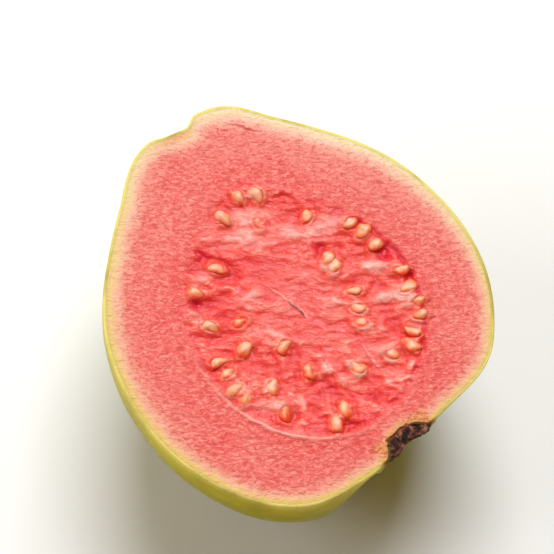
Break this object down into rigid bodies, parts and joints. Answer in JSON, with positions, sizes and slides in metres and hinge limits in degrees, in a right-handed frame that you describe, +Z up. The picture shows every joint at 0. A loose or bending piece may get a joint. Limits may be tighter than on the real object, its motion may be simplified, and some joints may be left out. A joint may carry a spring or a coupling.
{
  "type": "cut half of a guava",
  "caption": "Half of a pink-fleshed guava cut lengthwise, resting on its rounded back with the seeded cut face up and a dried calyx at one end.",
  "frame": {"origin": "on the resting surface, under the middle of the fruit's bounding box", "axes": "+X along the fruit from the stalk end to the blossom end, +Y across it, +Z up out of the cut face"},
  "size_m": [0.0825, 0.0762, 0.042],
  "materials": {
    "flesh": "moist pink cut flesh with glossy pulp and cream seeds, waxy yellow-green skin on the outside",
    "skin": "thin waxy yellow-green skin with a soft sheen, faint mottling and a few brown russet marks",
    "seeds": "hard smooth cream seeds, wet with pulp",
    "calyx": "dry, dark brown, crusty plant matter, matt"
  },
  "bodies": {
    "root": {"guava_half": "flesh", "calyx": "calyx"}
  },
  "joints": []
}
